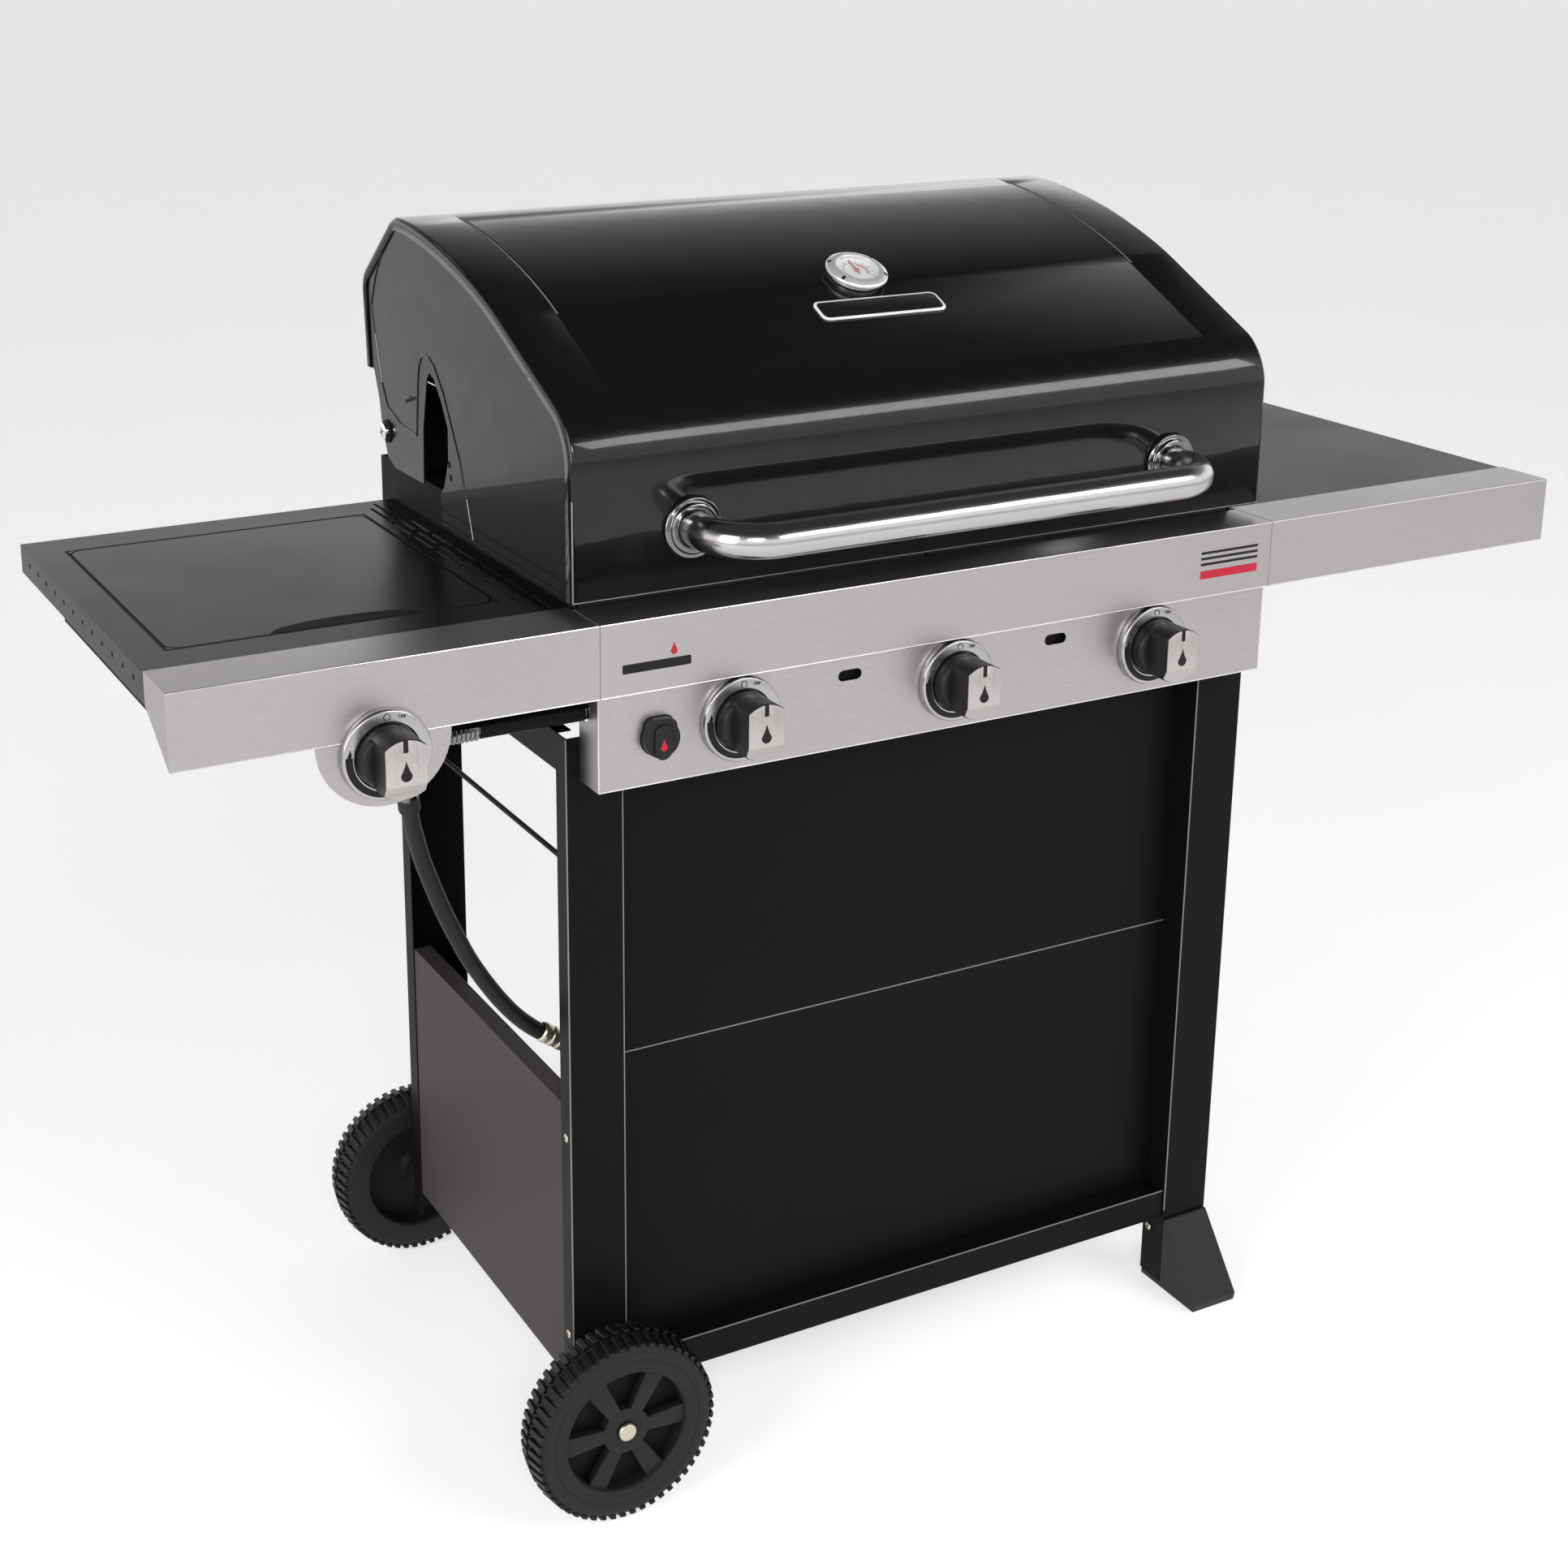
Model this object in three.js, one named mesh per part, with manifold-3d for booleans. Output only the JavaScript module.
// A three-burner gas barbecue on a wheeled cart, with a fourth burner in its left shelf.
// Millimetres, +Z up, and the front faces -Y. The origin is on the floor, under the middle of the outline.
import * as THREE from "three";
import { mergeVertices } from "three/addons/utils/BufferGeometryUtils.js";
import Module from "manifold-3d";

const wasm = await Module();
wasm.setup();

// ---- Driving dimensions ----

// Gaps and sheet
const touch = 0.3; // between pieces that rest on each other
const running = 0.3; // radial, round a shaft or a stem
const sheet = 1.5; // black cart, shelf and firebox sheet
const skin = 1.2; // stainless sheet
const enamel = 1.6; // lid sheet

// Worktop, over the cart
const overallWidth = 1430;
const consoleWidth = 708;
const worktop = 840; // top of the stainless strips
const fasciaFront = -229;
const fasciaHeight = 64;
const fasciaTopDepth = 60;
const fasciaEndHeight = 28; // rear height of its tapered end
const shelfBack = 246;
const shelfEdge = 26.5; // height of the turned-down rim
const shelfInnerEdge = 48;

// Side burner, in the left shelf
const sideLidCentreX = -541;
const sideLidCentreY = 39.5;
const sideLidWidth = 281;
const sideLidDepth = 320;
const sideLidRim = 8;
const sideLidGap = 1.5;
const sideLidRound = 12;
const sideBowlMargin = 7;
const sideBowlDepth = 65;
const sideBurnerRadius = 42;
const sideKnobX = -543;
const sideKnobZ = 763;
const bracketRadius = 57;

// Vent slots between the side burner and the firebox
const ventRows = 3;
const ventRowPitch = 9;
const ventLength = 50;
const ventPitch = 56;
const ventWidth = 3;
const ventCount = 7;
const ventFirstX = -384;
const ventFirstY = -166;

// Control panel, knobs and igniter
const panelSetback = 6; // behind the fascia
const panelBottom = 691;
const panelDepth = 36.5;
const knobPitch = 220;
const knobZ = 737;
const bezelRadius = 38;
const bezelBore = 29;
const bezelHeight = 8;
const knobRadius = 26.5;
const knobStandOff = 6;
const knobBaseHeight = 14;
const gripWidth = 34;
const gripHeight = 27;
const stemRadius = 4;
const stemHole = 6;
const stemBore = 32; // depth of the knob's bore
const airSlotX = 110;
const airSlotZ = 758;
const airSlotLength = 24;
const airSlotHeight = 10;
const igniterX = -298;
const igniterZ = 733;
const igniterRadius = 16.5;
const igniterNeck = 14; // half width of its upper part
const igniterTop = 18;
const igniterProud = 9;
const igniterGap = 0.7;

// Cart
const legOuterX = 367;
const legFace = 54;
const legOuterReturn = 20;
const legInnerReturn = 32;
const legFrontY = -186;
const legRearY = 210;
const legTop = 730;
const wheeledLegBottom = 72;
const seamZ = 409; // between the two front panels
const seamGap = 0.8;
const panelHem = 8;
const frontRailBottom = 81;
const frontRailHeight = 31;
const sidePanelTop = 380;
const sidePanelBottom = 100;
const sidePanelRim = 18;
const sideRailHeight = 35;
const bottomShelfZ = 119.5;
const bottomShelfRim = 15;
const guardRodZ = 615;
const guardRodRadius = 2.5;
const footHeight = 80;
const footReach = 57; // in front of the leg
const footSole = 6;

// Wheels and axle
const wheelRadius = 90.4;
const wheelWidth = 41;
const wheelGap = 30; // wheel to leg
const wheelX = -347;
const hubRadius = 13;
const webRadius = 58;
const webThickness = 9;
const webRecess = 4;
const rimChamfer = 5;
const spokes = 6;
const axleRadius = 5;
const axleHead = 8;

// Firebox and what is in it
const fireboxHalfWidth = 350;
const fireboxFront = -175;
const fireboxRear = 278;
const fireboxLip = 838; // top of the front wall
const fireboxWallTop = 876;
const fireboxKnee = 750; // where the floor starts to slope
const fireboxFloor = 712;
const troughFront = 19;
const troughRear = 79;
const grateThickness = 8;
const gratePitch = 17.5;
const grateSlot = 9.5;
const grateBars = 18;
const burnerRadius = 12;
const burnerZ = 768;
const burnerRear = 240;
const manifoldY = -196;
const manifoldZ = 757;
const manifoldRadius = 8;
const valveWidth = 22;
const valveDepth = 24;
const trayHalfWidth = 114;
const trayDepth = 18;
const trayFront = -50;
const trayRear = 250;

// Lid: front face, brow and back of its side profile
const lidHalfWidth = 363.6;
const lidBottom = 850;
const lidFront = -197;
const lidBrow = 998;
const browRound = 58;
const lidCrown = new THREE.Vector2(51.6, 1117.5);
const crownRound = 590;
const lidTopRear = new THREE.Vector2(193, 1123.5);
const topRearRound = 30;
const lidRear = 281;
const lidRearShoulder = 1056;
const rearRound = 30;
const lidRearBottom = 968;
const lidRearTuck = 6; // the back leans in by this much
const endFlange = 12;
const hingeY = 225;
const hingeZ = 912;
const hingeRadius = 4.6;
const hingeHead = 8;
const earHalfWidth = 16;
const earTop = 928;

// Handle and thermometer
const handleHalfSpan = 252;
const handleZ = 903;
const handleRadius = 15.5;
const handleReach = 68.5;
const handleBend = 46;
const flangeRadius = 27;
const flangeHeight = 6;
const gaugeY = -41;
const gaugeRadius = 29.5;
const gaugeHeight = 12;
const dialRadius = 23.5;
const dialDepth = 5;
const probeRadius = 4;
const probeLength = 60;

// Gas hose: its route, chosen by hand, from the supply nipple to the regulator's tail
const hoseRadius = 7.5;
const hoseRoute = [
  [-503, -170, 700],
  [-499, -162, 688],
  [-495, -154, 674],
  [-490, -146, 658],
  [-484, -139, 641],
  [-478, -133, 623],
  [-470, -129, 602],
  [-462, -126, 581],
  [-453, -124, 559],
  [-443, -123, 537],
  [-434, -122, 518],
  [-424, -122, 500],
  [-414, -122, 484],
  [-403, -122, 468],
  [-391, -123, 453],
  [-378, -124, 440],
  [-364, -125, 429],
  [-349, -127, 420],
].map((point) => new THREE.Vector3(...point));
const nippleLength = 64;
const ferruleRadius = 9.5;
const ferruleLength = 30;
const regulatorRadius = 27;
const regulatorDepth = 26;

// ---- Derived places ----

const halfWidth = overallWidth / 2;
const consoleHalf = consoleWidth / 2;
const fasciaBottom = worktop - fasciaHeight;
const fasciaRear = fasciaFront + fasciaTopDepth;
const shelfTop = worktop - skin - touch;
const shelfInner = fireboxHalfWidth + 2 * touch;
const panelFront = fasciaFront + panelSetback;
const lidProfile = [
  { at: new THREE.Vector2(lidFront, lidBottom), round: 0, steps: 1 },
  { at: new THREE.Vector2(lidFront, lidBrow), round: browRound, steps: 8 },
  { at: lidCrown, round: crownRound, steps: 8 },
  { at: lidTopRear, round: topRearRound, steps: 5 },
  { at: new THREE.Vector2(lidRear, lidRearShoulder), round: rearRound, steps: 5 },
  { at: new THREE.Vector2(lidRear - lidRearTuck, lidRearBottom), round: 0, steps: 1 },
];

// ---- Finishes ----

const finish = (color, roughness, metalness) => new THREE.MeshStandardMaterial({ color, roughness, metalness });
const stainless = () => finish(0xb9b5b3, 0.35, 1);
const chrome = () => finish(0xe4e4e4, 0.12, 1);
const zinc = () => finish(0xc9c4ae, 0.4, 1);
const glossEnamel = () => finish(0x0b0a0a, 0.1, 0);
const satinBlack = () => finish(0x1d1a1b, 0.5, 0);
const blackPlastic = () => finish(0x161617, 0.45, 0);
const castIron = () => finish(0x2a2826, 0.75, 0.3);
const rubber = () => finish(0x141313, 0.7, 0);
const brass = () => finish(0xb59a5a, 0.35, 1);

// ---- Shapes ----

function box(x0, x1, y0, y1, z0, z1) {
  const shape = new THREE.BoxGeometry(x1 - x0, y1 - y0, z1 - z0);
  return shape.translate((x0 + x1) / 2, (y0 + y1) / 2, (z0 + z1) / 2);
}

// A round bar from one point to another.
function rod(from, to, radius, sides = 16) {
  const along = new THREE.Vector3().subVectors(to, from);
  const turn = new THREE.Quaternion().setFromUnitVectors(new THREE.Vector3(0, 1, 0), along.clone().normalize());
  const middle = new THREE.Vector3().addVectors(from, to).multiplyScalar(0.5);
  const shape = new THREE.CylinderGeometry(radius, radius, along.length(), sides);
  return shape.applyQuaternion(turn).translate(middle.x, middle.y, middle.z);
}
const rodX = (x0, x1, y, z, r, sides) => rod(new THREE.Vector3(x0, y, z), new THREE.Vector3(x1, y, z), r, sides);
const rodY = (x, y0, y1, z, r, sides) => rod(new THREE.Vector3(x, y0, z), new THREE.Vector3(x, y1, z), r, sides);

// Closed outlines made solid along each axis: in plan, from the front and from the side.
const points = (pairs) => pairs.map(([a, b]) => new THREE.Vector2(a, b));
function slab(outline, depth) {
  return new THREE.ExtrudeGeometry(new THREE.Shape(outline), { depth, bevelEnabled: false });
}
const uprightFromPlan = (outline, z0, z1) => slab(outline, z1 - z0).translate(0, 0, z0);
const uprightFromFront = (outline, y0, y1) => slab(outline, y1 - y0).rotateX(Math.PI / 2).translate(0, y1, 0);
function uprightFromSide(outline, x0, x1) {
  const axes = new THREE.Matrix4().makeBasis(
    new THREE.Vector3(0, 1, 0),
    new THREE.Vector3(0, 0, 1),
    new THREE.Vector3(1, 0, 0),
  );
  return slab(outline, x1 - x0).applyMatrix4(axes).translate(x0, 0, 0);
}
// A plate with holes: each hole's outline is made a little deeper than the plate and cut out of it.
const pierced = (raise) => (outline, from, to, holes = []) =>
  holes.length ? cut(raise(outline, from, to), ...holes.map((hole) => raise(hole, from - 1, to + 1)))
    : raise(outline, from, to);
const inPlan = pierced(uprightFromPlan);
const fromFront = pierced(uprightFromFront);
const fromSide = pierced(uprightFromSide);

const rectangle = (a0, a1, b0, b1) => points([[a0, b0], [a1, b0], [a1, b1], [a0, b1]]);
function arc(a, b, radius, start, end, steps) {
  return Array.from({ length: steps + 1 }, (_, i) => {
    const angle = start + ((end - start) * i) / steps;
    return new THREE.Vector2(a + radius * Math.cos(angle), b + radius * Math.sin(angle));
  });
}
const circle = (a, b, radius, sides = 12) => arc(a, b, radius, 0, 2 * Math.PI, sides).slice(0, sides);
function roundRectangle(a0, a1, b0, b1, radius, steps = 4) {
  const quarter = Math.PI / 2;
  return [
    ...arc(a1 - radius, b1 - radius, radius, 0, quarter, steps),
    ...arc(a0 + radius, b1 - radius, radius, quarter, 2 * quarter, steps),
    ...arc(a0 + radius, b0 + radius, radius, 2 * quarter, 3 * quarter, steps),
    ...arc(a1 - radius, b0 + radius, radius, 3 * quarter, 4 * quarter, steps),
  ];
}

// An open line of corners, each rounded to its own radius
function roundedLine(corners) {
  return corners.flatMap(({ at, round, steps }, i) => {
    if (round === 0) return [at];
    const back = corners[i - 1].at.clone().sub(at).normalize();
    const on = corners[i + 1].at.clone().sub(at).normalize();
    const half = Math.acos(back.dot(on)) / 2;
    const centre = back.clone().add(on).normalize().multiplyScalar(round / Math.sin(half)).add(at);
    const start = back.multiplyScalar(round / Math.tan(half)).add(at).sub(centre);
    const turn = Math.PI - 2 * half;
    return Array.from({ length: steps + 1 }, (_, k) =>
      start.clone().rotateAround(new THREE.Vector2(), (-turn * k) / steps).add(centre),
    );
  });
}

// The same line moved to its right by a distance, with the rounds shrunk to match.
function inset(corners, distance) {
  const edges = corners.slice(1).map((corner, i) => {
    const along = corner.at.clone().sub(corners[i].at).normalize();
    const shift = new THREE.Vector2(along.y, -along.x).multiplyScalar(distance);
    return { from: corners[i].at.clone().add(shift), to: corner.at.clone().add(shift), along };
  });
  return corners.map(({ round, steps }, i) => {
    const before = edges[i - 1];
    const after = edges[i];
    if (!before) return { at: after.from, round, steps };
    if (!after) return { at: before.to, round, steps };
    const gap = after.from.clone().sub(before.from);
    const reach = gap.cross(after.along) / before.along.cross(after.along);
    const at = before.along.clone().multiplyScalar(reach).add(before.from);
    return { at, round: round - distance, steps };
  });
}

// A turned piece from [radius, height] pairs, its axis along +Z.
function turned(pairs, sides) {
  return new THREE.LatheGeometry(points(pairs), sides).rotateX(Math.PI / 2);
}

// ---- Joining and cutting ----

function solid(piece) {
  if (!piece.isBufferGeometry) return piece;
  const bare = piece.clone();
  bare.deleteAttribute("normal");
  bare.deleteAttribute("uv");
  const merged = mergeVertices(bare, 1e-4);
  const vertProperties = merged.attributes.position.array;
  const triVerts = new Uint32Array(merged.index.array);
  return new wasm.Manifold(new wasm.Mesh({ numProp: 3, vertProperties, triVerts }));
}
const join = (...pieces) => pieces.map(solid).reduce((whole, piece) => whole.add(piece));
const cut = (piece, ...tools) => tools.map(solid).reduce((rest, tool) => rest.subtract(tool), solid(piece));

function geometryOf(piece) {
  if (piece.isBufferGeometry) return piece;
  const { vertProperties, triVerts } = piece.getMesh();
  const geometry = new THREE.BufferGeometry();
  geometry.setAttribute("position", new THREE.BufferAttribute(vertProperties, 3));
  geometry.setIndex(new THREE.BufferAttribute(triVerts, 1));
  return geometry;
}

const grill = new THREE.Group();
function place(name, piece, material, parent = grill) {
  const mesh = new THREE.Mesh(geometryOf(piece), material);
  mesh.name = name;
  parent.add(mesh);
  return mesh;
}
// The right-hand twin of a left-hand piece.
function placeMirrored(name, piece, material) {
  place(name, piece, material).scale.x = -1;
}

// ---- Cart ----

// A channel leg in plan; side is -1 on the left, end is -1 at the front.
function legSection(side, end) {
  const face = end < 0 ? legFrontY : legRearY;
  const corner = (inFromSide, inFromFace) => [side * (legOuterX - inFromSide), face - end * inFromFace];
  return points([
    corner(0, legOuterReturn),
    corner(0, 0),
    corner(legFace, 0),
    corner(legFace, legInnerReturn),
    corner(legFace - sheet, legInnerReturn),
    corner(legFace - sheet, sheet),
    corner(sheet, sheet),
    corner(sheet, legOuterReturn),
  ]);
}
const axleHole = rodY(wheelX, legFrontY - 5, legRearY + 5, wheelRadius, axleRadius + running);
const leftLeg = (end) => cut(inPlan(legSection(-1, end), wheeledLegBottom, legTop), axleHole);
place("leg_front_left", leftLeg(-1), satinBlack());
place("leg_rear_left", leftLeg(1), satinBlack());
const footedLegBottom = footSole + touch;
place("leg_front_right", inPlan(legSection(1, -1), footedLegBottom, legTop), satinBlack());
place("leg_rear_right", inPlan(legSection(1, 1), footedLegBottom, legTop), satinBlack());

// Front panels, hung between the legs' inner returns
const doorHalf = legOuterX - legFace - touch;
const doorFront = legFrontY + legInnerReturn - 3;
function frontPanel(z0, z1) {
  return inPlan(
    points([
      [-doorHalf, doorFront + panelHem],
      [-doorHalf, doorFront],
      [doorHalf, doorFront],
      [doorHalf, doorFront + panelHem],
      [doorHalf - sheet, doorFront + panelHem],
      [doorHalf - sheet, doorFront + sheet],
      [-doorHalf + sheet, doorFront + sheet],
      [-doorHalf + sheet, doorFront + panelHem],
    ]),
    z0,
    z1,
  );
}
const frontRailTop = frontRailBottom + frontRailHeight;
place("front_panel_upper", frontPanel(seamZ + seamGap / 2, legTop), satinBlack());
place("front_panel_lower", frontPanel(frontRailTop + touch, seamZ - seamGap / 2), satinBlack());

// The front rail is a channel with its mouth down, a little behind the legs' faces.
const railFront = legFrontY + 3;
const railRear = legFrontY + legInnerReturn;
place(
  "front_bottom_rail",
  fromSide(
    points([
      [railFront, frontRailBottom],
      [railFront, frontRailTop],
      [railRear, frontRailTop],
      [railRear, frontRailBottom],
      [railRear - sheet, frontRailBottom],
      [railRear - sheet, frontRailTop - sheet],
      [railFront + sheet, frontRailTop - sheet],
      [railFront + sheet, frontRailBottom],
    ]),
    -doorHalf,
    doorHalf,
  ),
  satinBlack(),
);

// Side panels and side rails fill the space between the legs' outer returns.
const sideFront = legFrontY + legOuterReturn + touch;
const sideRear = legRearY - legOuterReturn - touch;
const sideOuter = legOuterX - 1;
const sidePanel = join(
  box(-sideOuter, -sideOuter + sheet, sideFront, sideRear, sidePanelBottom, sidePanelTop),
  box(-sideOuter, -sideOuter + sidePanelRim, sideFront, sideRear, sidePanelTop - sheet, sidePanelTop),
);
place("side_panel_left", sidePanel, satinBlack());
placeMirrored("side_panel_right", sidePanel, satinBlack());
const sideRailBottom = legTop - sideRailHeight;
const sideRail = join(
  box(-sideOuter, -sideOuter + sheet, sideFront, sideRear, sideRailBottom, legTop),
  box(-sideOuter, -fireboxHalfWidth - 2, sideFront, sideRear, legTop - sheet, legTop),
);
place("side_rail_left", sideRail, satinBlack());
placeMirrored("side_rail_right", sideRail, satinBlack());

// Bottom shelf: a shallow tray, mouth down, between the side panels
const bottomShelfHalf = sideOuter - sheet - touch;
const bottomShelfFront = doorFront + panelHem + touch;
const bottomShelfRear = legRearY - legInnerReturn - touch;
place(
  "bottom_shelf",
  cut(
    box(-bottomShelfHalf, bottomShelfHalf, bottomShelfFront, bottomShelfRear,
      bottomShelfZ - bottomShelfRim, bottomShelfZ),
    box(-bottomShelfHalf + sheet, bottomShelfHalf - sheet, bottomShelfFront + sheet, bottomShelfRear - sheet,
      bottomShelfZ - bottomShelfRim - 1, bottomShelfZ - sheet),
  ),
  satinBlack(),
);

const guardRodX = legOuterX - sheet - touch - guardRodRadius;
const guardRodEnd = sheet + touch;
place(
  "tank_guard_rod",
  rodY(-guardRodX, legFrontY + guardRodEnd, legRearY - guardRodEnd, guardRodZ, guardRodRadius, 10),
  satinBlack(),
);

// A foot: a wedge before the leg, a sole under it and a plug up inside the channel
function foot(face, end) {
  const wedge = fromSide(
    points([
      [face + end * (touch + 3), footHeight],
      [face + end * footReach, 9],
      [face + end * (footReach - 2), 0],
      [face - end * (legInnerReturn - 2), 0],
      [face - end * (legInnerReturn - 2), footSole],
      [face + end * touch, footSole],
      [face + end * touch, footHeight],
    ]),
    legOuterX - legFace,
    legOuterX,
  );
  const near = face - end * (sheet + touch);
  const far = face - end * (legOuterReturn - 2);
  const plugInset = sheet + touch;
  const plug = box(
    legOuterX - legFace + plugInset,
    legOuterX - plugInset,
    Math.min(near, far),
    Math.max(near, far),
    footSole / 2,
    footHeight - 25,
  );
  return join(wedge, plug);
}
place("foot_front_right", foot(legFrontY, -1), blackPlastic());
place("foot_rear_right", foot(legRearY, 1), blackPlastic());

// ---- Wheels and axle ----

// A wheel with its outer face up: the hub's boss reaches down to the leg. The web has open pockets.
function wheel() {
  const half = wheelWidth / 2;
  const bore = axleRadius + running;
  const webTop = half - webRecess;
  const bossEnd = half + wheelGap - 1;
  const ring = turned(
    [
      [bore, -bossEnd],
      [hubRadius, -bossEnd],
      [hubRadius, webTop - webThickness],
      [webRadius, webTop - webThickness],
      [webRadius + 2, -half],
      [wheelRadius - rimChamfer, -half],
      [wheelRadius, -half + rimChamfer],
      [wheelRadius, half - rimChamfer],
      [wheelRadius - rimChamfer, half],
      [webRadius + 2, half],
      [webRadius, webTop],
      [hubRadius, webTop],
      [bore, webTop],
      [bore, -bossEnd],
    ],
    36,
  );
  const pockets = Array.from({ length: spokes }, (_, i) => {
    const middle = ((i + 0.5) * 2 * Math.PI) / spokes;
    const outer = arc(0, 0, webRadius - 5, middle - 0.34, middle + 0.34, 4);
    const inner = arc(0, 0, hubRadius + 8, middle + 0.24, middle - 0.24, 2);
    return inPlan([...outer, ...inner], webTop - webThickness - 1, webTop + 1);
  });
  return cut(ring, ...pockets);
}
const wheelOffset = wheelGap + wheelWidth / 2;
const frontWheelY = legFrontY - wheelOffset;
const rearWheelY = legRearY + wheelOffset;
function placeWheel(name, y, quarterTurns) {
  const mesh = place(name, wheel(), blackPlastic());
  mesh.position.set(wheelX, y, wheelRadius);
  mesh.rotation.x = (quarterTurns * Math.PI) / 2;
}
placeWheel("wheel_front", frontWheelY, 1);
placeWheel("wheel_rear", rearWheelY, -1);
const headInner = wheelWidth / 2 - webRecess + touch;
const headOuter = wheelWidth / 2;
place(
  "axle",
  join(
    rodY(wheelX, frontWheelY - headInner - 1, rearWheelY + headInner + 1, wheelRadius, axleRadius, 16),
    rodY(wheelX, frontWheelY - headOuter, frontWheelY - headInner, wheelRadius, axleHead, 16),
    rodY(wheelX, rearWheelY + headInner, rearWheelY + headOuter, wheelRadius, axleHead, 16),
  ),
  zinc(),
);

// ---- Shelves ----

const lidBox = {
  x0: sideLidCentreX - sideLidWidth / 2,
  x1: sideLidCentreX + sideLidWidth / 2,
  y0: sideLidCentreY - sideLidDepth / 2,
  y1: sideLidCentreY + sideLidDepth / 2,
};
const burnerOpening = roundRectangle(
  lidBox.x0 - sideLidGap,
  lidBox.x1 + sideLidGap,
  lidBox.y0 - sideLidGap,
  lidBox.y1 + sideLidGap,
  sideLidRound + sideLidGap,
);
// Staggered rows of slots, as [x, y] corners in plan
const ventSlots = Array.from({ length: ventRows * ventCount }, (_, i) => {
  const row = i % ventRows;
  const x = ventFirstX + row * ventRowPitch;
  const y = ventFirstY + Math.floor(i / ventRows) * ventPitch + (row % 2) * (ventPitch / 4);
  return rectangle(x - ventWidth / 2, x + ventWidth / 2, y, y + ventLength);
});

const rearZone = fasciaRear + touch;
const underFascia = fasciaFront + skin + touch;
// A left-hand shelf: its top, narrower under the fascia, and three turned-down rims
function shelf(holes) {
  const top = inPlan(
    points([
      [-halfWidth, rearZone],
      [-halfWidth + skin + touch, rearZone],
      [-halfWidth + skin + touch, underFascia],
      [-consoleHalf - touch, underFascia],
      [-consoleHalf - touch, rearZone],
      [-shelfInner, rearZone],
      [-shelfInner, shelfBack],
      [-halfWidth, shelfBack],
    ]),
    shelfTop - sheet,
    shelfTop,
    holes,
  );
  const rimHoles = Array.from({ length: 12 }, (_, i) => circle(-140 + i * 32, shelfTop - 12, 2.5, 8));
  const edge = fromSide(
    rectangle(rearZone, shelfBack, shelfTop - shelfEdge, shelfTop),
    -halfWidth,
    -halfWidth + sheet,
    rimHoles,
  );
  const back = box(-halfWidth, -shelfInner, shelfBack - sheet, shelfBack, shelfTop - shelfEdge, shelfTop);
  const inner = box(-shelfInner - sheet, -shelfInner, rearZone, shelfBack, shelfTop - shelfInnerEdge, shelfTop);
  return join(top, edge, back, inner);
}
place("left_shelf", shelf([burnerOpening, ...ventSlots]), satinBlack());
placeMirrored("right_shelf", shelf([]), satinBlack());

// Stainless fascia: front, top strip and a tapered end
const fascia = join(
  box(-halfWidth, -consoleHalf - touch, fasciaFront, fasciaFront + skin, fasciaBottom, worktop),
  box(-halfWidth, -consoleHalf - touch, fasciaFront, fasciaRear, worktop - skin, worktop),
  fromSide(
    points([
      [fasciaFront, fasciaBottom],
      [fasciaRear, worktop - fasciaEndHeight],
      [fasciaRear, worktop],
      [fasciaFront, worktop],
    ]),
    -halfWidth,
    -halfWidth + skin,
  ),
);
place("left_shelf_fascia", fascia, stainless());
placeMirrored("right_shelf_fascia", fascia, stainless());

// ---- Side burner ----

const sideLid = cut(
  inPlan(
    roundRectangle(lidBox.x0, lidBox.x1, lidBox.y0, lidBox.y1, sideLidRound),
    shelfTop - sideLidRim,
    shelfTop,
  ),
  inPlan(
    roundRectangle(
      lidBox.x0 + sheet,
      lidBox.x1 - sheet,
      lidBox.y0 + sheet,
      lidBox.y1 - sheet,
      sideLidRound - sheet,
    ),
    shelfTop - sideLidRim - 1,
    shelfTop - sheet,
  ),
);
place("side_burner_lid", sideLid, satinBlack());

const sideTubeZ = shelfTop - sheet - sideBowlDepth + 14;
const bowlTop = shelfTop - sheet - touch;
const bowl = {
  x0: lidBox.x0 - sideBowlMargin,
  x1: lidBox.x1 + sideBowlMargin,
  y0: lidBox.y0 - sideBowlMargin,
  y1: lidBox.y1 + sideBowlMargin,
};
const sideTubeRadius = 9;
place(
  "side_burner_bowl",
  cut(
    box(bowl.x0, bowl.x1, bowl.y0, bowl.y1, bowlTop - sideBowlDepth, bowlTop),
    box(bowl.x0 + sheet, bowl.x1 - sheet, bowl.y0 + sheet, bowl.y1 - sheet,
      bowlTop - sideBowlDepth + sheet, bowlTop + 1),
    rodY(sideKnobX, bowl.y0 - 5, bowl.y0 + 5, sideTubeZ, sideTubeRadius + 1),
  ),
  satinBlack(),
);

const sideGrateTop = shelfTop - sideLidRim - 4;
const sideGrateThickness = 6;
const burnerHeadTop = sideGrateTop - sideGrateThickness - 6;
const burnerHead = turned(
  [
    [0, sideTubeZ],
    [sideTubeRadius, sideTubeZ],
    [sideTubeRadius, burnerHeadTop - 16],
    [sideBurnerRadius - 6, burnerHeadTop - 14],
    [sideBurnerRadius, burnerHeadTop - 8],
    [sideBurnerRadius - 8, burnerHeadTop - 1],
    [0, burnerHeadTop],
  ],
  24,
).translate(sideKnobX, sideLidCentreY, 0);
const sideTubeFront = manifoldY + valveDepth / 2 + touch;
place(
  "side_burner",
  join(burnerHead, rodY(sideKnobX, sideTubeFront, sideLidCentreY, sideTubeZ, sideTubeRadius)),
  castIron(),
);

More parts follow.
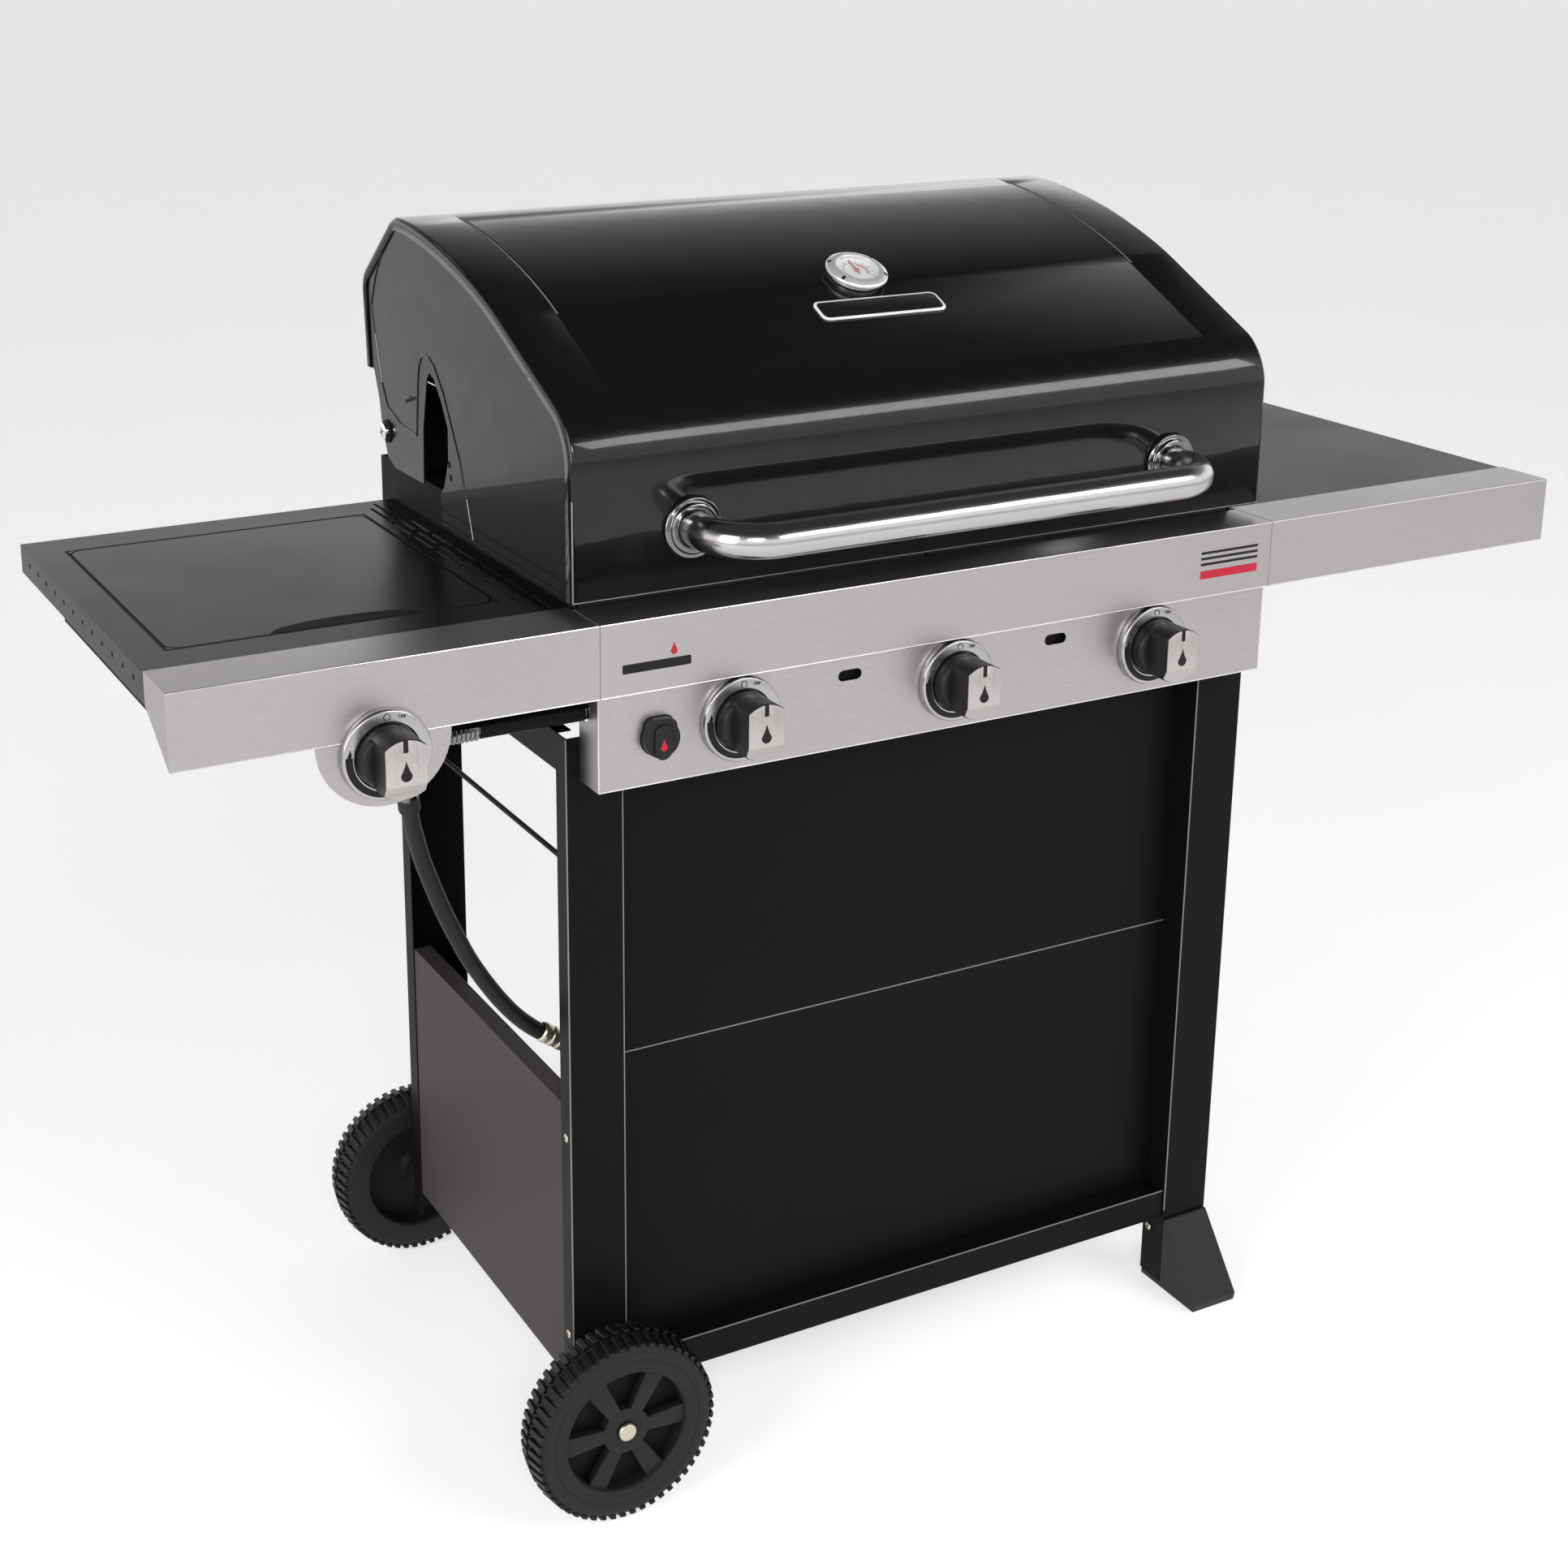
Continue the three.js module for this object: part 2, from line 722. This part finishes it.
// Side grate: a rim and eight bars that leave the middle open
const grateGap = 2;
const sideGrateBox = {
  x0: bowl.x0 + sheet + grateGap,
  x1: bowl.x1 - sheet - grateGap,
  y0: bowl.y0 + sheet + grateGap,
  y1: bowl.y1 - sheet - grateGap,
};
const grateBar = 6;
const sideGrateBars = [-90, -30, 30, 90].flatMap((offset) => [
  box(sideKnobX + offset - grateBar / 2, sideKnobX + offset + grateBar / 2, sideGrateBox.y0, sideGrateBox.y1,
    sideGrateTop - sideGrateThickness, sideGrateTop),
  box(sideGrateBox.x0, sideGrateBox.x1, sideLidCentreY + offset - grateBar / 2,
    sideLidCentreY + offset + grateBar / 2, sideGrateTop - sideGrateThickness, sideGrateTop),
]);
place(
  "side_burner_grate",
  join(
    cut(
      box(sideGrateBox.x0, sideGrateBox.x1, sideGrateBox.y0, sideGrateBox.y1,
        sideGrateTop - sideGrateThickness, sideGrateTop),
      box(sideGrateBox.x0 + grateBar, sideGrateBox.x1 - grateBar, sideGrateBox.y0 + grateBar,
        sideGrateBox.y1 - grateBar, sideGrateTop - sideGrateThickness - 1, sideGrateTop + 1),
    ),
    ...sideGrateBars,
  ),
  castIron(),
);

// Half-round bracket that carries the side knob under the fascia, with a tongue up behind it
const bracketEdge = fasciaBottom - touch;
const tongueFront = fasciaFront + skin + touch;
place(
  "side_knob_bracket",
  cut(
    join(
      fromFront(
        arc(sideKnobX, bracketEdge, bracketRadius, Math.PI, 2 * Math.PI, 24),
        fasciaFront,
        fasciaFront + skin,
      ),
      box(sideKnobX - 40, sideKnobX + 40, fasciaFront, tongueFront + skin, bracketEdge - skin, bracketEdge),
      box(sideKnobX - 40, sideKnobX + 40, tongueFront, tongueFront + skin, bracketEdge - skin, worktop - 10),
    ),
    rodY(sideKnobX, fasciaFront - 5, fasciaFront + 10, sideKnobZ, stemHole),
  ),
  stainless(),
);

// ---- Console ----

place(
  "console_band",
  join(
    box(-consoleHalf, consoleHalf, fasciaFront, fasciaFront + skin, fasciaBottom, worktop),
    box(-consoleHalf, consoleHalf, fasciaFront, fireboxFront - 1, worktop - skin, worktop),
    box(-consoleHalf, consoleHalf, fasciaFront, panelFront + skin, fasciaBottom, fasciaBottom + skin),
  ),
  stainless(),
);

// The igniter's outline: a circle with a rounded tongue up from it
function keyhole(grow) {
  const radius = igniterRadius + grow;
  const neck = igniterNeck + grow;
  const start = Math.acos(neck / radius);
  return [
    ...arc(igniterX, igniterZ, radius, -Math.PI - start, start, 20),
    ...arc(igniterX + neck - 8, igniterZ + igniterTop + grow - 8, 8, 0, Math.PI / 2, 3),
    ...arc(igniterX - neck + 8, igniterZ + igniterTop + grow - 8, 8, Math.PI / 2, Math.PI, 3),
  ];
}
const knobXs = [-knobPitch, 0, knobPitch];
const airSlot = (x) =>
  roundRectangle(
    x - airSlotLength / 2,
    x + airSlotLength / 2,
    airSlotZ - airSlotHeight / 2,
    airSlotZ + airSlotHeight / 2,
    airSlotHeight / 2 - 0.01,
  );
const panelTop = fasciaBottom - touch;
const panelRear = panelFront + panelDepth;
const pipeHole = manifoldRadius + 2;
const panelFace = fromFront(
  rectangle(-consoleHalf, consoleHalf, panelBottom, panelTop),
  panelFront,
  panelFront + skin,
  [...knobXs.map((x) => circle(x, knobZ, stemHole, 16)), airSlot(-airSlotX), airSlot(airSlotX), keyhole(igniterGap)],
);
const panelEnd = (x0) => box(x0, x0 + skin, panelFront, panelRear, panelBottom, panelTop);
place(
  "control_panel",
  cut(
    join(
      panelFace,
      panelEnd(-consoleHalf),
      panelEnd(consoleHalf - skin),
      box(-consoleHalf, consoleHalf, panelFront, panelFront + 17, panelBottom, panelBottom + skin),
    ),
    rodX(-consoleHalf - 5, -consoleHalf + 5, manifoldY, manifoldZ, pipeHole),
  ),
  stainless(),
);

const igniterFlange = 2;
place(
  "ignition_button",
  join(
    fromFront(keyhole(0), panelFront - igniterProud, panelFront + skin + 5),
    fromFront(keyhole(igniterFlange), panelFront + skin + 1, panelFront + skin + 5),
  ),
  blackPlastic(),
);

// ---- Knobs ----

const knobSites = [
  { name: "left", x: -knobPitch, z: knobZ, face: panelFront },
  { name: "middle", x: 0, z: knobZ, face: panelFront },
  { name: "right", x: knobPitch, z: knobZ, face: panelFront },
  { name: "side", x: sideKnobX, z: sideKnobZ, face: fasciaFront },
];
const bezel = turned(
  [
    [bezelBore, touch],
    [bezelRadius, touch],
    [bezelRadius, 3],
    [bezelRadius - 3, bezelHeight - 1],
    [bezelRadius - 6, bezelHeight],
    [bezelBore + 2, bezelHeight - 1],
    [bezelBore, bezelHeight - 3],
    [bezelBore, touch],
  ],
  32,
);
// The knob: a round base and a straight grip across it, with a blind bore for the stem
const gripTop = knobStandOff + knobBaseHeight + gripHeight;
const gripAngle = Math.acos(gripWidth / 2 / knobRadius);
const gripOutline = [
  ...arc(0, 0, knobRadius, gripAngle, Math.PI - gripAngle, 6),
  ...arc(0, 0, knobRadius, Math.PI + gripAngle, 2 * Math.PI - gripAngle, 6),
];
const knobBase = turned(
  [
    [0, knobStandOff],
    [knobRadius, knobStandOff],
    [knobRadius, knobStandOff + knobBaseHeight - 3],
    [knobRadius - 3, knobStandOff + knobBaseHeight],
    [0, knobStandOff + knobBaseHeight],
  ],
  28,
);
const along = (z0, z1, radius) => rod(new THREE.Vector3(0, 0, z0), new THREE.Vector3(0, 0, z1), radius);
const knob = cut(
  join(knobBase, inPlan(gripOutline, knobStandOff + 1, gripTop)),
  along(knobStandOff - 1, knobStandOff + stemBore, stemRadius + running),
);
const valveFront = manifoldY - valveDepth / 2;
const stemTravelRoom = 4;
for (const site of knobSites) {
  // Built with its axis along +Z, then turned to face the front
  const facing = new THREE.Group();
  facing.position.set(site.x, site.face, site.z);
  facing.rotation.x = Math.PI / 2;
  grill.add(facing);
  place(`knob_bezel_${site.name}`, bezel, chrome(), facing);
  place(`knob_${site.name}`, knob, blackPlastic(), facing);
  const stemEnd = site.face - valveFront - stemTravelRoom;
  place(`valve_stem_${site.name}`, along(stemEnd, knobStandOff + stemBore - 3, stemRadius), brass(), facing);
}

// ---- Gas supply ----

// One pipe with a valve body behind every knob, each with a bore for its stem and a spud for its burner
function valve(site, spudZ) {
  const z0 = Math.min(site.z - 9, manifoldZ - 9);
  const z1 = Math.max(spudZ + 7, manifoldZ + 9);
  const body = box(site.x - valveWidth / 2, site.x + valveWidth / 2, valveFront, valveFront + valveDepth, z0, z1);
  return cut(body, rodY(site.x, valveFront - 1, valveFront + 15, site.z, stemRadius + 0.4));
}
const valves = knobSites.map((site) => valve(site, site.name === "side" ? sideTubeZ : burnerZ));
const hoseStart = hoseRoute[0];
const hoseCurve = new THREE.CatmullRomCurve3(hoseRoute, false, "centripetal");
const hoseAway = hoseCurve.getTangent(0);
const nippleEnd = hoseStart.clone().addScaledVector(hoseAway, -touch);
const nippleRoot = nippleEnd.clone().addScaledVector(hoseAway, -nippleLength);
place(
  "gas_manifold",
  cut(
    join(
      rodX(sideKnobX, knobPitch + 40, manifoldY, manifoldZ, manifoldRadius, 14),
      ...valves,
      rod(nippleRoot, nippleEnd, ferruleRadius, 14),
    ),
    ...knobSites.map((site) => rodY(site.x, valveFront - 1, valveFront + 15, site.z, stemRadius + 0.4)),
  ),
  zinc(),
);

// The hose: a round section drawn along its route
place(
  "gas_hose",
  new THREE.ExtrudeGeometry(new THREE.Shape(circle(0, 0, hoseRadius, 10)), {
    steps: 24,
    extrudePath: hoseCurve,
    bevelEnabled: false,
  }),
  rubber(),
);
const hoseEnd = hoseRoute[hoseRoute.length - 1];
const tailAway = hoseCurve.getTangent(1);
const tailStart = hoseEnd.clone().addScaledVector(tailAway, touch);
const regulatorAt = hoseEnd.clone().addScaledVector(tailAway, ferruleLength + regulatorRadius);
place(
  "gas_regulator",
  join(
    rod(tailStart, regulatorAt, ferruleRadius, 14),
    rodY(regulatorAt.x, regulatorAt.y - regulatorDepth / 2, regulatorAt.y + regulatorDepth / 2, regulatorAt.z,
      regulatorRadius, 28),
  ),
  zinc(),
);

// ---- Firebox ----

const trough = [
  { at: new THREE.Vector2(fireboxFront, fireboxLip), round: 0, steps: 1 },
  { at: new THREE.Vector2(fireboxFront, fireboxKnee), round: 0, steps: 1 },
  { at: new THREE.Vector2(troughFront, fireboxFloor), round: 0, steps: 1 },
  { at: new THREE.Vector2(troughRear, fireboxFloor), round: 0, steps: 1 },
  { at: new THREE.Vector2(fireboxRear, fireboxKnee), round: 0, steps: 1 },
  { at: new THREE.Vector2(fireboxRear, fireboxWallTop), round: 0, steps: 1 },
];
const troughInside = inset(trough, -sheet);
const wallInner = fireboxHalfWidth - sheet;
const corners = (line) => line.map(({ at }) => at);
const troughSheet = fromSide([...corners(trough), ...corners(troughInside).reverse()], -wallInner, wallInner);
const endWallOutline = [
  ...corners(trough),
  ...points([
    [hingeY + earHalfWidth, fireboxWallTop],
    [hingeY + earHalfWidth, earTop],
    [hingeY - earHalfWidth, earTop],
    [hingeY - earHalfWidth, fireboxWallTop],
    [fireboxFront + 40, fireboxWallTop],
  ]),
];
const hingeHole = circle(hingeY, hingeZ, hingeRadius + running, 16);
const endWall = (x0) => fromSide(endWallOutline, x0, x0 + sheet, [hingeHole]);
const ledgeTop = fireboxLip - touch;
const ledge = (y0, y1) => box(-wallInner, wallInner, y0, y1, ledgeTop - sheet, ledgeTop);
// Runners under the floor carry the grease tray by its rims.
const lipTop = fireboxFloor - 12;
const trayLip = 7;
const runnerX = trayHalfWidth + trayLip + touch;
const floorAt = (y) => fireboxFloor + ((y - troughRear) * (fireboxKnee - fireboxFloor)) / (fireboxRear - troughRear);
const runnerProfile = points([
  [troughFront, lipTop - skin],
  [trayRear, lipTop - skin],
  [trayRear, floorAt(trayRear)],
  [troughRear, fireboxFloor],
  [troughFront, fireboxFloor],
]);
const runner = (side) => {
  const x0 = side < 0 ? -runnerX - sheet : runnerX;
  const lip0 = side < 0 ? -runnerX - sheet : runnerX - trayLip + 1;
  return [
    fromSide(runnerProfile, x0, x0 + sheet),
    box(lip0, lip0 + sheet + trayLip - 1, troughFront, trayRear, lipTop - skin, lipTop),
  ];
};
const burnerHoles = knobXs.map((x) => rodY(x, fireboxFront - 5, fireboxFront + 5, burnerZ, burnerRadius + 1));
const greaseHole = box(-60, 60, troughFront + 5, troughRear - 5, fireboxFloor - 5, fireboxFloor + 5);
place(
  "firebox",
  cut(
    join(
      troughSheet,
      endWall(-fireboxHalfWidth),
      endWall(wallInner),
      ledge(fireboxFront, fireboxFront + 13),
      ledge(fireboxRear - 13, fireboxRear),
      ...runner(-1),
      ...runner(1),
    ),
    ...burnerHoles,
    greaseHole,
  ),
  satinBlack(),
);

// Burner tubes, open to the valves in front and closed behind
const burnerFront = manifoldY + valveDepth / 2 + touch;
knobXs.forEach((x, i) => {
  const tube = rodY(x, burnerFront, burnerRear, burnerZ, burnerRadius, 16);
  const bore = rodY(x, burnerFront - 1, burnerRear - sheet, burnerZ, burnerRadius - sheet, 16);
  place(`burner_${["left", "middle", "right"][i]}`, cut(tube, bore), stainless());
});

// Cooking grates: slabs with two banks of slots, side by side
const grateBottom = fireboxLip;
const grateY0 = fireboxFront + sheet + 2;
const grateY1 = fireboxRear - sheet - 2;
const grateX0 = 1;
const grateX1 = wallInner - 2;
const grateMiddle = (grateY0 + grateY1) / 2;
const grateEdge = 14;
function cookingGrate(side) {
  const firstSlot = (grateX0 + grateX1 - (grateBars - 1) * gratePitch) / 2;
  const slots = Array.from({ length: grateBars * 2 }, (_, i) => {
    const x = side * (firstSlot + Math.floor(i / 2) * gratePitch);
    const y0 = i % 2 ? grateMiddle + grateEdge / 2 : grateY0 + grateEdge;
    const y1 = i % 2 ? grateY1 - grateEdge : grateMiddle - grateEdge / 2;
    return rectangle(x - grateSlot / 2, x + grateSlot / 2, y0, y1);
  });
  const near = Math.min(side * grateX0, side * grateX1);
  const far = Math.max(side * grateX0, side * grateX1);
  return inPlan(rectangle(near, far, grateY0, grateY1), grateBottom, grateBottom + grateThickness, slots);
}
place("cooking_grate_left", cookingGrate(-1), castIron());
place("cooking_grate_right", cookingGrate(1), castIron());

const trayRimBottom = lipTop + touch;
place(
  "grease_tray",
  cut(
    join(
      box(-trayHalfWidth, trayHalfWidth, trayFront, trayRear, trayRimBottom - trayDepth, trayRimBottom + skin),
      box(-runnerX + touch, runnerX - touch, trayFront, trayRear, trayRimBottom, trayRimBottom + skin),
      box(-60, 60, trayRear - 1, trayRear + 24, trayRimBottom, trayRimBottom + skin),
      box(-60, 60, trayRear + 24 - skin, trayRear + 24, trayRimBottom - 12, trayRimBottom + skin),
    ),
    box(-trayHalfWidth + skin, trayHalfWidth - skin, trayFront + skin, trayRear - skin,
      trayRimBottom - trayDepth + skin, trayRimBottom + 5),
  ),
  zinc(),
);

// ---- Lid ----

const lidOutline = roundedLine(lidProfile);
// A band of the lid between two depths below its outer face; its two ends can run on past the lid's.
function lidBand(from, to, x0, x1, runOn = 0) {
  const outer = roundedLine(inset(lidProfile, from));
  const inner = roundedLine(inset(lidProfile, to)).reverse();
  const ends = [outer[0], inner[inner.length - 1], outer[outer.length - 1], inner[0]];
  for (const end of ends) end.y -= runOn;
  return fromSide([...outer, ...inner], x0, x1);
}

// Height and slope of the lid's top at a given y
function lidSurface(y) {
  const next = lidOutline.findIndex((point, i) => i > 0 && point.x >= y && point.x > lidOutline[i - 1].x);
  const a = lidOutline[next - 1];
  const b = lidOutline[next];
  const share = (y - a.x) / (b.x - a.x);
  return { z: a.y + share * (b.y - a.y), tilt: Math.atan2(b.y - a.y, b.x - a.x) };
}
const gaugeSite = lidSurface(gaugeY);
const gauge = new THREE.Group();
gauge.position.set(0, gaugeY, gaugeSite.z);
gauge.rotation.x = gaugeSite.tilt;
grill.add(gauge);
gauge.updateMatrixWorld(true);
const probeHole = along(-20, 20, probeRadius + 2).applyMatrix4(gauge.matrixWorld);

place(
  "lid_shell",
  cut(
    lidBand(0, endFlange, -lidHalfWidth, lidHalfWidth),
    lidBand(enamel, endFlange + 1, -lidHalfWidth + enamel, lidHalfWidth - enamel, 1),
    probeHole,
  ),
  glossEnamel(),
);

// End plate: inside the shell, with a hinge lug behind and a side window that is open below
const windowBottom = fireboxWallTop + 3;
const lugOutline = points([
  [lidRear - 24, lidRearBottom - 1],
  [hingeY + 21, hingeZ + 29],
  [hingeY + 15, hingeZ + 1],
  [hingeY + 2, hingeZ - 26],
  [hingeY - 17, windowBottom],
  [134, windowBottom],
  [131, 933],
  [119, 982],
  [112, 989],
  [102, 985],
  [86, 968],
  [71, 945],
  [72, 915],
  [83, 888],
  [92, windowBottom],
  [92, lidBottom],
]);
const endPlateOutline = [...roundedLine(inset(lidProfile, enamel + touch)), ...lugOutline];
const endPlateOuter = lidHalfWidth - enamel - touch;
const endPlate = fromSide(endPlateOutline, -endPlateOuter, -endPlateOuter + enamel, [
  circle(hingeY, hingeZ, hingeRadius + running, 16),
]);
place("lid_end_left", endPlate, glossEnamel());
placeMirrored("lid_end_right", endPlate, glossEnamel());

// Hinge screw: head, shank, spacer and nut in one
const hingeScrew = join(
  rodX(-endPlateOuter - touch - 4, -endPlateOuter - touch, hingeY, hingeZ, hingeHead, 20),
  rodX(-endPlateOuter - touch - 1, -wallInner + 6, hingeY, hingeZ, hingeRadius, 16),
  rodX(-endPlateOuter + enamel + touch, -fireboxHalfWidth - touch, hingeY, hingeZ, hingeHead - 1, 16),
  rodX(-wallInner + touch, -wallInner + 6, hingeY, hingeZ, hingeHead - 1, 6),
);
place("hinge_screw_left", hingeScrew, chrome());
placeMirrored("hinge_screw_right", hingeScrew, chrome());

// Handle: one bent tube and its two flanges against the lid
const handleY = lidFront - handleReach;
const handlePath = new THREE.CurvePath();
const handleRoot = lidFront - touch - 1;
const corner = (side) => ({
  root: new THREE.Vector3(side * handleHalfSpan, handleRoot, handleZ),
  start: new THREE.Vector3(side * handleHalfSpan, handleY + handleBend, handleZ),
  pull: new THREE.Vector3(side * handleHalfSpan, handleY + handleBend * 0.45, handleZ),
  draw: new THREE.Vector3(side * (handleHalfSpan - handleBend * 0.55), handleY, handleZ),
  end: new THREE.Vector3(side * (handleHalfSpan - handleBend), handleY, handleZ),
});
const leftBend = corner(-1);
const rightBend = corner(1);
handlePath.add(new THREE.LineCurve3(leftBend.root, leftBend.start));
handlePath.add(new THREE.CubicBezierCurve3(leftBend.start, leftBend.pull, leftBend.draw, leftBend.end));
handlePath.add(new THREE.LineCurve3(leftBend.end, rightBend.end));
handlePath.add(new THREE.CubicBezierCurve3(rightBend.end, rightBend.draw, rightBend.pull, rightBend.start));
handlePath.add(new THREE.LineCurve3(rightBend.start, rightBend.root));
const handleTube = new THREE.ExtrudeGeometry(new THREE.Shape(circle(0, 0, handleRadius, 12)), {
  steps: 36,
  extrudePath: handlePath,
  bevelEnabled: false,
});
const handleFlange = (side) =>
  rodY(side * handleHalfSpan, lidFront - touch - flangeHeight, lidFront - touch, handleZ, flangeRadius, 24);
place("lid_handle", join(handleTube, handleFlange(-1), handleFlange(1)), stainless());

// Thermometer: a dished case with its probe, and a pointer that turns in the dish
place(
  "thermometer",
  turned(
    [
      [0, -probeLength],
      [probeRadius, -probeLength],
      [probeRadius, touch],
      [gaugeRadius - 3, touch],
      [gaugeRadius, 3],
      [gaugeRadius, gaugeHeight - 3],
      [gaugeRadius - 2.5, gaugeHeight],
      [dialRadius, gaugeHeight],
      [dialRadius, gaugeHeight - dialDepth],
      [0, gaugeHeight - dialDepth],
    ],
    32,
  ),
  chrome(),
  gauge,
);
const pointerBottom = gaugeHeight - dialDepth + touch;
place(
  "thermometer_needle",
  join(
    inPlan(points([[-1.2, -5], [1.2, -5], [0.4, 17], [-0.4, 17]]), pointerBottom, pointerBottom + 1),
    along(pointerBottom, pointerBottom + 1.6, 2.5),
  ),
  finish(0xb01822, 0.5, 0),
  gauge,
);

export default grill;
